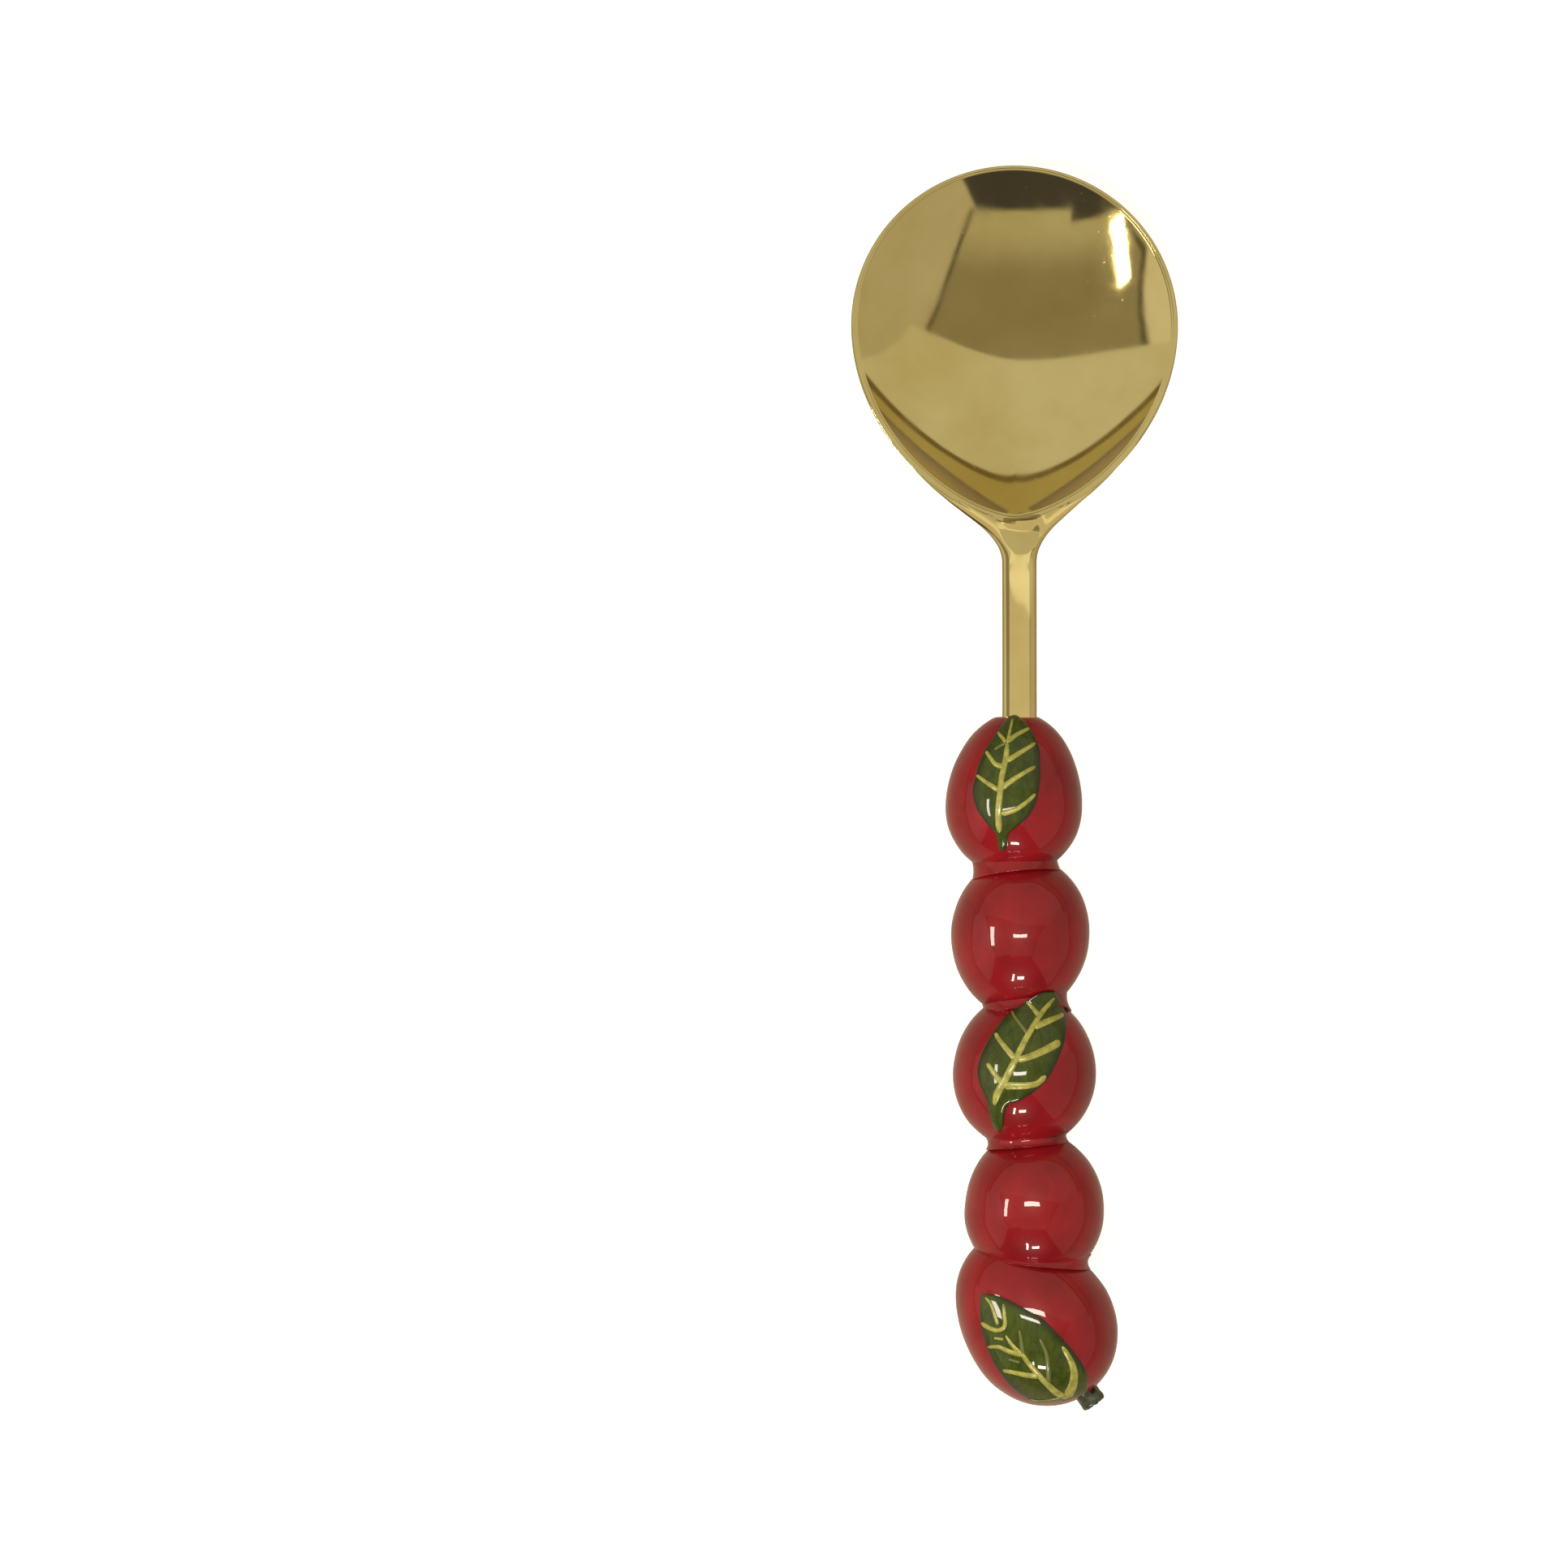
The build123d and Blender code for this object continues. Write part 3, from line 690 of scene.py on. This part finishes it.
def ground(leaf, x, s):
    """Height of what a leaf lies on: its fruit, or the fruit or collar before it if higher."""
    heights = [skin_lift(leaf["fruit"], x, s)]
    if leaf["fruit"] > 0:
        seam_x, seam_s, _, _, waist, _ = seam_sizes[leaf["fruit"] - 1]
        past = collar_steepness * (s - seam_s * mm)
        rise = (waist * mm) ** 2 - (x - seam_x * mm) ** 2 - past**2
        heights.append(skin_lift(leaf["fruit"] - 1, x, s))
        heights.append(fruit_sizes[leaf["fruit"]][1] * mm + sqrt(max(0.0, rise)))
    highest = heights[0]
    for other in heights[1:]:
        highest = (highest + other + hypot(highest - other, crease_blend * mm)) / 2
    return highest - (crease_sink * mm if len(heights) > 1 else 0)


def on_leaf(leaf, point, proud):
    """The place of a point of the leaf's frame, this far (mm) above what the leaf lies on."""
    turn = radians(leaf["turn"])
    x = (leaf["x"] + point[0] * cos(turn) + point[1] * sin(turn)) * mm
    s = (leaf["s"] + point[0] * sin(turn) - point[1] * cos(turn)) * mm
    step = 0.3 * mm
    across = (ground(leaf, x + step, s) - ground(leaf, x - step, s)) / (2 * step)
    down = (ground(leaf, x, s + step) - ground(leaf, x, s - step)) / (2 * step)
    across, down = clamp(across, -steepest, steepest), clamp(down, -steepest, steepest)
    outward = Vector((-across, 1, -down)).normalized()
    return handle @ (Vector((x, ground(leaf, x, s), s)) + outward * proud * mm)


def leaf_height(leaf, point):
    """How proud the leaf stands at a point of its frame: crowned, and thin at its edge."""
    steps = 60
    level = min(range(steps + 1), key=lambda n: abs(along(leaf["left"], n / steps)[1] - point[1])) / steps
    left, right = along(leaf["left"], level)[0], along(leaf["right"], level)[0]
    side = clamp((2 * point[0] - left - right) / max(0.1, right - left), -1.0, 1.0)
    return leaf_relief * (vein_bed + (1 - vein_bed) * sqrt(1 - side**2))


# Dark green brushed paint with streaks that the brush left, darkened almost to black along its
# outline, its sides and its key, under the same clear gloss as the fruit.
leaf_paint, tree, shader = new_material("green_brush_paint", "#3c4410")
place = node(tree, "ShaderNodeTexCoord")
edge = node(tree, "ShaderNodeAttribute", attribute_name="edge")
streak_place = node(
    tree,
    "ShaderNodeMapping",
    {"Scale": (1.0, 0.35, 1.0)},
    {"Vector": place.outputs["Object"]},
)
streaks = node(
    tree,
    "ShaderNodeTexNoise",
    {"Scale": 1 / (1.3 * mm), "Detail": 4, "Roughness": 0.65, "Distortion": 0.8},
    {"Vector": streak_place.outputs["Vector"]},
)
green = node(tree, "ShaderNodeValToRGB", links={"Fac": streaks.outputs["Fac"]})
for stop, at, tone in zip(green.color_ramp.elements, (0.3, 0.72), ("#273004", "#3e4a09")):
    stop.position, stop.color = at, linear(tone)
# Darkens the green almost to black along the leaf's outline, on its sides and on its key.
outline_darkening = node(
    tree,
    "ShaderNodeMapRange",
    {"From Min": 0.72, "From Max": 1.0, "To Min": 0.0, "To Max": 0.85},
    {"Value": edge.outputs["Fac"]},
)
edged = node(
    tree,
    "ShaderNodeMix",
    {"B": linear("#15180a")},
    {"Factor": outline_darkening.outputs["Result"], "A": green.outputs["Color"]},
    data_type="RGBA",
)
ridges = node(
    tree,
    "ShaderNodeBump",
    {"Strength": 0.5, "Distance": 0.1 * mm},
    {"Height": streaks.outputs["Fac"]},
)
shader.inputs["Roughness"].default_value = 0.45
shader.inputs["Specular IOR Level"].default_value = 0.1
shader.inputs["Coat Weight"].default_value = 1.0
shader.inputs["Coat Roughness"].default_value = 0.04
shader.inputs["Coat IOR"].default_value = 1.34
tree.links.new(edged.outputs["Result"], shader.inputs["Base Color"])
tree.links.new(ridges.outputs["Normal"], shader.inputs["Normal"])

for number, leaf in enumerate(leaves):
    blade = bmesh.new()
    edge_layer = blade.verts.layers.float.new("edge")
    bmesh.ops.create_grid(blade, x_segments=34, y_segments=84, size=1)
    for v in blade.verts:
        side, share = sin(v.co.x * pi / 2), (1 - cos((v.co.y + 1) / 2 * pi)) / 2
        left, right = along(leaf["left"], share), along(leaf["right"], share)
        point = left.lerp(right, (side + 1) / 2)
        end = 1 - abs(2 * share - 1)
        v[edge_layer] = max(abs(side), 1 - end_fade * end)
        crowned = edge_relief + (1 - edge_relief) * sqrt(max(0.0, 1 - side**2))
        proud = leaf_relief * crowned * min(1.0, end_relief + end_swell * end)
        v.co = on_leaf(leaf, point, proud)
    top = blade.faces[:]
    key = bmesh.ops.extrude_face_region(blade, geom=top)
    for v in [g for g in key["geom"] if isinstance(g, bmesh.types.BMVert)]:
        v[edge_layer] = 1.0
        v.co -= handle.col[1].to_3d() * leaf_depth * mm
    new_piece(f"leaf_{number + 1}", blade, leaf_paint)

# Thick trailed paint in a dusty olive yellow: rounded ridges, a little rough and blotchy, with
# a few strokes laid in a duller mix.
vein_paint, tree, shader = new_material("trailed_olive_paint", "#96963c")
place = node(tree, "ShaderNodeTexCoord")
dull = node(tree, "ShaderNodeAttribute", attribute_name="dull")
blots = node(
    tree,
    "ShaderNodeTexNoise",
    {"Scale": 1 / (1.4 * mm), "Detail": 4, "Roughness": 0.6},
    {"Vector": place.outputs["Object"]},
)
olive = node(tree, "ShaderNodeValToRGB", links={"Fac": blots.outputs["Fac"]})
for stop, at, tone in zip(olive.color_ramp.elements, (0.32, 0.7), ("#74722a", "#a5a043")):
    stop.position, stop.color = at, linear(tone)
dulled = node(
    tree,
    "ShaderNodeMix",
    {"B": linear("#565a20")},
    {"Factor": dull.outputs["Fac"], "A": olive.outputs["Color"]},
    data_type="RGBA",
)
lumps = node(
    tree,
    "ShaderNodeBump",
    {"Strength": 0.5, "Distance": 0.08 * mm},
    {"Height": blots.outputs["Fac"]},
)
shader.inputs["Roughness"].default_value = 0.42
shader.inputs["Coat Weight"].default_value = 0.5
shader.inputs["Coat Roughness"].default_value = 0.12
tree.links.new(dulled.outputs["Result"], shader.inputs["Base Color"])
tree.links.new(lumps.outputs["Normal"], shader.inputs["Normal"])

vein_relief, vein_key = 0.32, 0.55  # how proud of the leaf, and how deep its key goes in
vein_spread = 1.35  # the paint spreads this much past the stroke's width
vein_bluntness = 2.2
vein_step = 0.02  # how far ahead and behind the stroke's direction is taken
for number, leaf in enumerate(leaves):
    veins = bmesh.new()
    dull_layer = veins.verts.layers.float.new("dull")
    for points, width, thinning, is_dull in leaf_veins[number]:
        run = bmesh.ops.create_uvsphere(veins, u_segments=16, v_segments=40, radius=1)["verts"]
        for v in run:
            share = 1 - acos(clamp(v.co.z, -1.0, 1.0)) / pi
            ahead = along(points, min(1.0, share + vein_step))
            behind = along(points, max(0.0, share - vein_step))
            forward = (ahead - behind).normalized()
            body = min(1.0, sqrt(max(0.0, 1 - abs(2 * share - 1))) * vein_bluntness)
            wide = vein_spread * width / 2 * (1 + (thinning - 1) * share) * body
            flat = hypot(v.co.x, v.co.y) or 1.0
            across, up = v.co.x / flat, v.co.y / flat
            if abs(v.co.z) > 0.999:  # a pole of the sphere, which ends the stroke
                across = up = 0.0
            point = along(points, share) + Vector((forward.y, -forward.x)) * across * wide
            proud = leaf_height(leaf, point) + (vein_relief if up > 0 else vein_key) * up * body
            v[dull_layer] = float(is_dull)
            v.co = on_leaf(leaf, point, proud)
    new_piece(f"veins_{number + 1}", veins, vein_paint)

# ------------------------------------------------------------------------------ stalk
# The last fruit ends in a short cut stalk: a peg let into the resin, painted dark green and
# cut off roughly, with a dimple in its end.

# Half its outline, as radius and place along the last fruit's axis (mm), from its hidden foot to
# the dimple.
stalk_radius, stalk_start, stalk_end = 2.7, 11.0, 19.4
stalk_line = [
    (0.0, stalk_start), (stalk_radius, stalk_start), (3.5, 13.4), (2.75, 15.4), (2.55, 17.0),
    (2.65, stalk_end - 0.7), (2.35, stalk_end - 0.12), (1.7, stalk_end),
    (0.9, stalk_end - 0.35), (0.0, stalk_end - 0.8),
]
stalk_rings = 48
cut_band, side_roughness, cut_roughness = 0.6, 0.12, 0.22  # mm: the cut end is the rougher
stalk = bmesh.new()
profile = [along(stalk_line, n / stalk_rings) for n in range(stalk_rings + 1)]
corners = [stalk.verts.new((point.x, 0, point.y)) for point in profile]
edges = [stalk.edges.new(pair) for pair in zip(corners, corners[1:])]
bmesh.ops.spin(
    stalk, geom=corners + edges, cent=(0, 0, 0), axis=(0, 0, 1), angle=2 * pi, steps=72, use_merge=True
)
bmesh.ops.remove_doubles(stalk, verts=stalk.verts, dist=0.001)
for v in stalk.verts:
    spot = v.co * 0.9 + Vector((3.0, 0, 9.0))  # read at three spreads, one for each direction
    rough = side_roughness if v.co.z < stalk_end - cut_band else cut_roughness
    v.co += Vector((noise.noise(spot), noise.noise(spot * 1.7), noise.noise(spot * 2.1))) * rough
    v.co *= mm
stalk.transform(fruit_frame(4))

# A small drain hole beside the stalk's foot, in its upper side.
drain, drain_radius, drain_depth = Vector((16.0, -221.8)) * mm, 0.8 * mm, 1.0 * mm
axis_height = fruit_frame(4).translation.z
for v in stalk.verts:
    away = (v.co.to_2d() - drain).length / drain_radius
    if away < 1 and v.co.z > axis_height:
        v.co.z -= drain_depth * (1 - away**2)

# Dark green paint dabbed over the peg: blotchy, knobbly and half glossy.
stalk_paint, tree, shader = new_material("dark_green_paint", "#1e2a12")
place = node(tree, "ShaderNodeTexCoord")
dabs = node(
    tree,
    "ShaderNodeTexNoise",
    {"Scale": 1 / (1.1 * mm), "Detail": 4, "Roughness": 0.65},
    {"Vector": place.outputs["Object"]},
)
dark_green = node(tree, "ShaderNodeValToRGB", links={"Fac": dabs.outputs["Fac"]})
for stop, at, tone in zip(dark_green.color_ramp.elements, (0.35, 0.75), ("#141c0a", "#33461c")):
    stop.position, stop.color = at, linear(tone)
knobs = node(
    tree,
    "ShaderNodeBump",
    {"Strength": 0.6, "Distance": 0.12 * mm},
    {"Height": dabs.outputs["Fac"]},
)
shader.inputs["Roughness"].default_value = 0.4
shader.inputs["Coat Weight"].default_value = 0.6
shader.inputs["Coat Roughness"].default_value = 0.1
tree.links.new(dark_green.outputs["Color"], shader.inputs["Base Color"])
tree.links.new(knobs.outputs["Normal"], shader.inputs["Normal"])
new_piece("stalk", stalk, stalk_paint)

# ------------------------------------------------------------------------------ stage
# A plain white table in a pale room. Three soft strips and one panel hang overhead, and two
# small lamps stand low past the handle's end. Each lamp lights only its own group of pieces.

table_half_width = 3.0
table = bmesh.new()
bmesh.ops.create_grid(table, x_segments=1, y_segments=1, size=table_half_width)
table_top = new_object("table", table)
# White matt card to the eye. What it throws back at the pieces is a warmer grey, so that their
# lower edges stay dark and their colours full.
white, tree, shader = new_material("white_table", "#ffffff")
shader.inputs["Base Color"].default_value = linear("#aea094")
shader.inputs["Roughness"].default_value = 0.8
lit_paper = node(tree, "ShaderNodeEmission", {"Color": linear("#ffffff"), "Strength": 0.72})
paper = node(tree, "ShaderNodeBsdfDiffuse", {"Color": linear("#dcdcdc")})
seen_paper = node(tree, "ShaderNodeAddShader")
tree.links.new(lit_paper.outputs["Emission"], seen_paper.inputs[0])
tree.links.new(paper.outputs["BSDF"], seen_paper.inputs[1])
ray = node(tree, "ShaderNodeLightPath")
table_look = node(tree, "ShaderNodeMixShader", links={"Fac": ray.outputs["Is Camera Ray"]})
tree.links.new(shader.outputs["BSDF"], table_look.inputs[1])
tree.links.new(seen_paper.outputs["Shader"], table_look.inputs[2])
table_out = next(n for n in tree.nodes if n.type == "OUTPUT_MATERIAL")
tree.links.new(table_look.outputs["Shader"], table_out.inputs["Surface"])
table_top.data.materials.append(white)

# The room that the plating mirrors: a dim ceiling inside a dark cornice, pale walls, a brighter
# one past the bowl's tip with a wooden skirting, and a dark corner high behind the handle.
room = bpy.data.worlds.new("studio")
room.use_nodes = True
bpy.context.scene.world = room
tree = room.node_tree
tree.nodes.clear()
direction = node(tree, "ShaderNodeTexCoord")


def beyond(facing, start, blur):
    """1 where the room lies further this way than start, easing over blur either side."""
    reach = node(tree, "ShaderNodeVectorMath", operation="DOT_PRODUCT")
    tree.links.new(direction.outputs["Generated"], reach.inputs[0])
    reach.inputs[1].default_value = facing
    return node(
        tree,
        "ShaderNodeMapRange",
        {"From Min": start - blur, "From Max": start + blur},
        {"Value": reach.outputs["Value"]},
        interpolation_type="SMOOTHSTEP",
    ).outputs["Result"]


def patch(colour, under, *edges):
    """Lays a soft-edged patch of this colour, bounded by these edges, over what is under it."""
    mask = beyond(*edges[0])
    for bound in edges[1:]:
        both = node(tree, "ShaderNodeMath", operation="MULTIPLY")
        tree.links.new(mask, both.inputs[0])
        tree.links.new(beyond(*bound), both.inputs[1])
        mask = both.outputs["Value"]
    return node(
        tree, "ShaderNodeMix", {"B": linear(colour)}, {"Factor": mask, "A": under}, data_type="RGBA"
    ).outputs["Result"]


walls = node(tree, "ShaderNodeRGB")
walls.outputs["Color"].default_value = linear("#d2cbb7")

# Each edge is the way it faces, how far out the patch begins that way, and its blur.
crisp, soft, hazy, fading = 0.012, 0.03, 0.1, 0.12
ceiling_end = ((0, 1, 0), -0.47, crisp)
cornice = [
    ((-1, 0.6, 0), -0.56, crisp),
    ((1, 0.14, 0), -0.825, crisp),
    ((1, 0.8, 0), -0.965, crisp),
    ceiling_end,
]
ceiling = [
    ((-1, 0.6, 0), -0.53, crisp),
    ((1, 0.14, 0), -0.80, crisp),
    ((1, 0.8, 0), -0.935, crisp),
    ceiling_end,
]
corner_side = ((1, 0, 0), -0.68, crisp)
skirting = [((0, 1, 0), 0.3, soft)]

# The lit wall on the left, the cornice, the ceiling and the ceiling's paler end.
view = patch("#f4efe0", walls.outputs["Color"], ((-1, 0, 0), 0.72, hazy))
view = patch("#6d6654", view, *cornice, ((-0.09, -1, 0), -0.255, crisp))
view = patch("#a59d86", view, *ceiling, ((-0.09, -1, 0), -0.24, crisp))
view = patch("#d0c9ae", view, *ceiling, ((0, -1, 0), 0.30, fading))

# The dark corner, in two steps.
view = patch("#504e50", view, ((-1, -0.93, 0), 0.2, crisp), corner_side, ((0, -1, 0), 0.47, crisp))
view = patch("#504e50", view, ((-1, 0, 0), 0.33, crisp), corner_side, ((0, -1, 0), 0.415, crisp))

# The wall past the bowl's tip, then its skirting as a dark line and a warm board.
view = patch("#e4e0cb", view, ((0.09, 1, 0), 0.24, crisp), ((-1, 0.75, 0), -0.615, crisp))
view = patch("#82704c", view, *skirting, ((-0.2, 0, -1), -0.29, crisp), ((0.2, 0, -1), -0.29, crisp))
view = patch("#c1b27c", view, *skirting, ((-0.2, 0, -1), -0.235, crisp), ((0.2, 0, -1), -0.235, crisp))
lit_room = node(tree, "ShaderNodeBackground", {"Strength": 1.0}, {"Color": view})
backdrop = node(tree, "ShaderNodeBackground", {"Color": linear("#fbfbfb"), "Strength": 1.0})
ray = node(tree, "ShaderNodeLightPath")
seen = node(tree, "ShaderNodeMixShader", links={"Fac": ray.outputs["Is Camera Ray"]})
tree.links.new(lit_room.outputs["Background"], seen.inputs[1])
tree.links.new(backdrop.outputs["Background"], seen.inputs[2])
node(tree, "ShaderNodeOutputWorld", links={"Surface": seen.outputs["Shader"]})


def lamp(name, place, size, watts, tilt, lights):
    """A soft rectangular lamp at this place (mm), turned from straight down by these degrees."""
    data = bpy.data.lights.new(name, "AREA")
    data.shape = "RECTANGLE"
    data.size, data.size_y = size[0] * mm, size[1] * mm
    data.energy = watts
    data.color = linear("#fff6e6")[:3]
    made = bpy.data.objects.new(name, data)
    made.location = Vector(place) * mm
    made.rotation_euler = [radians(angle) for angle in tilt]
    made.visible_camera = False
    bpy.context.scene.collection.objects.link(made)
    made.light_linking.receiver_collection = lights


def lit_group(name, *starts):
    """The pieces whose names start like this, as the group that one lamp lights."""
    group = bpy.data.collections.new(name)
    for piece in bpy.context.scene.objects:
        if piece.name.startswith(starts):
            group.objects.link(piece)
    return group


handle_pieces = lit_group("handle_pieces", "fruit", "seam", "leaf", "veins", "stalk", "table")
bowl_pieces = lit_group("bowl_pieces", "bowl")
stem_pieces = lit_group("stem_pieces", "stem")
lamp("bowl_strip", (-314, -98, 360), (36, 150), 0.6, (0, -41, 26), bowl_pieces)
lamp("stem_panel", (0, -60, 420), (420, 300), 0.2, (0, 0, 0), stem_pieces)
lamp("left_strip", (-390, -150, 360), (50, 170), 0.9, (0, -47, 0), handle_pieces)
lamp("right_strip", (-30, -143, 360), (150, 32), 0.6, (0, 0, 0), handle_pieces)
lamp("low_lamp", (0, -500, 240), (70, 36), 0.45, (60, 0, 0), handle_pieces)
lamp("low_lamp_left", (-80, -500, 240), (20, 90), 0.3, (60, 0, 0), handle_pieces)

# ------------------------------------------------------------------------------ camera
# It looks straight down at the table from above the spoon's left side.

lens = bpy.data.cameras.new("camera")
lens.lens, lens.sensor_width = 300, 36
lens.clip_start, lens.clip_end = 0.01, 20
camera = bpy.data.objects.new("camera", lens)
camera.location = Vector((-48.1, -95.7, 2739.0)) * mm
bpy.context.scene.collection.objects.link(camera)
bpy.context.scene.camera = camera
bpy.context.scene.view_settings.view_transform = "Standard"
bpy.context.scene.view_settings.look = "None"
